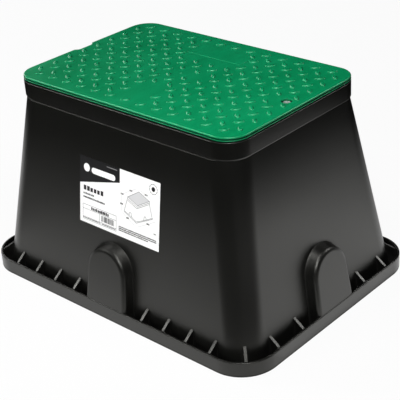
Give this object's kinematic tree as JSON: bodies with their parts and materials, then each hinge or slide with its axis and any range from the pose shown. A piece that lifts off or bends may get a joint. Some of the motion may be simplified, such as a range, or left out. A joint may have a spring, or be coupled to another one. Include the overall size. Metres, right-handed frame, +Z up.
{
  "type": "irrigation valve box",
  "caption": "Rectangular in-ground valve box: tapered black body with a flanged base, ribbed gutter and arched pipe entries, and a green bolt-down lid with a raised tread.",
  "frame": {"origin": "centre of the base on the ground", "axes": "+X along the long side towards the lock bolt, +Z up, -Y out of the long wall with the label"},
  "size_m": [0.54, 0.4, 0.3171],
  "materials": {
    "black_body": "fine sandy grain",
    "green_lid": "satin",
    "zinc_steel": "zinc plated",
    "label_film": "printed film"
  },
  "bodies": {
    "box": {"box_body": "black_body", "lock_nut": "zinc_steel", "label": "label_film"},
    "lid": {"lid": "green_lid"},
    "bolt": {"lock_bolt": "zinc_steel", "bolt_washer": "zinc_steel"}
  },
  "joints": [
    {"name": "lid_lift", "type": "slide", "parent": "box", "child": "lid", "axis": [0, 0, 1], "range_m": [0, 0.12]},
    {"name": "bolt_turn", "type": "hinge", "parent": "lid", "child": "bolt", "pos_m": [0.187, 0, 0.31], "axis": [0, 0, 1], "continuous": true}
  ]
}
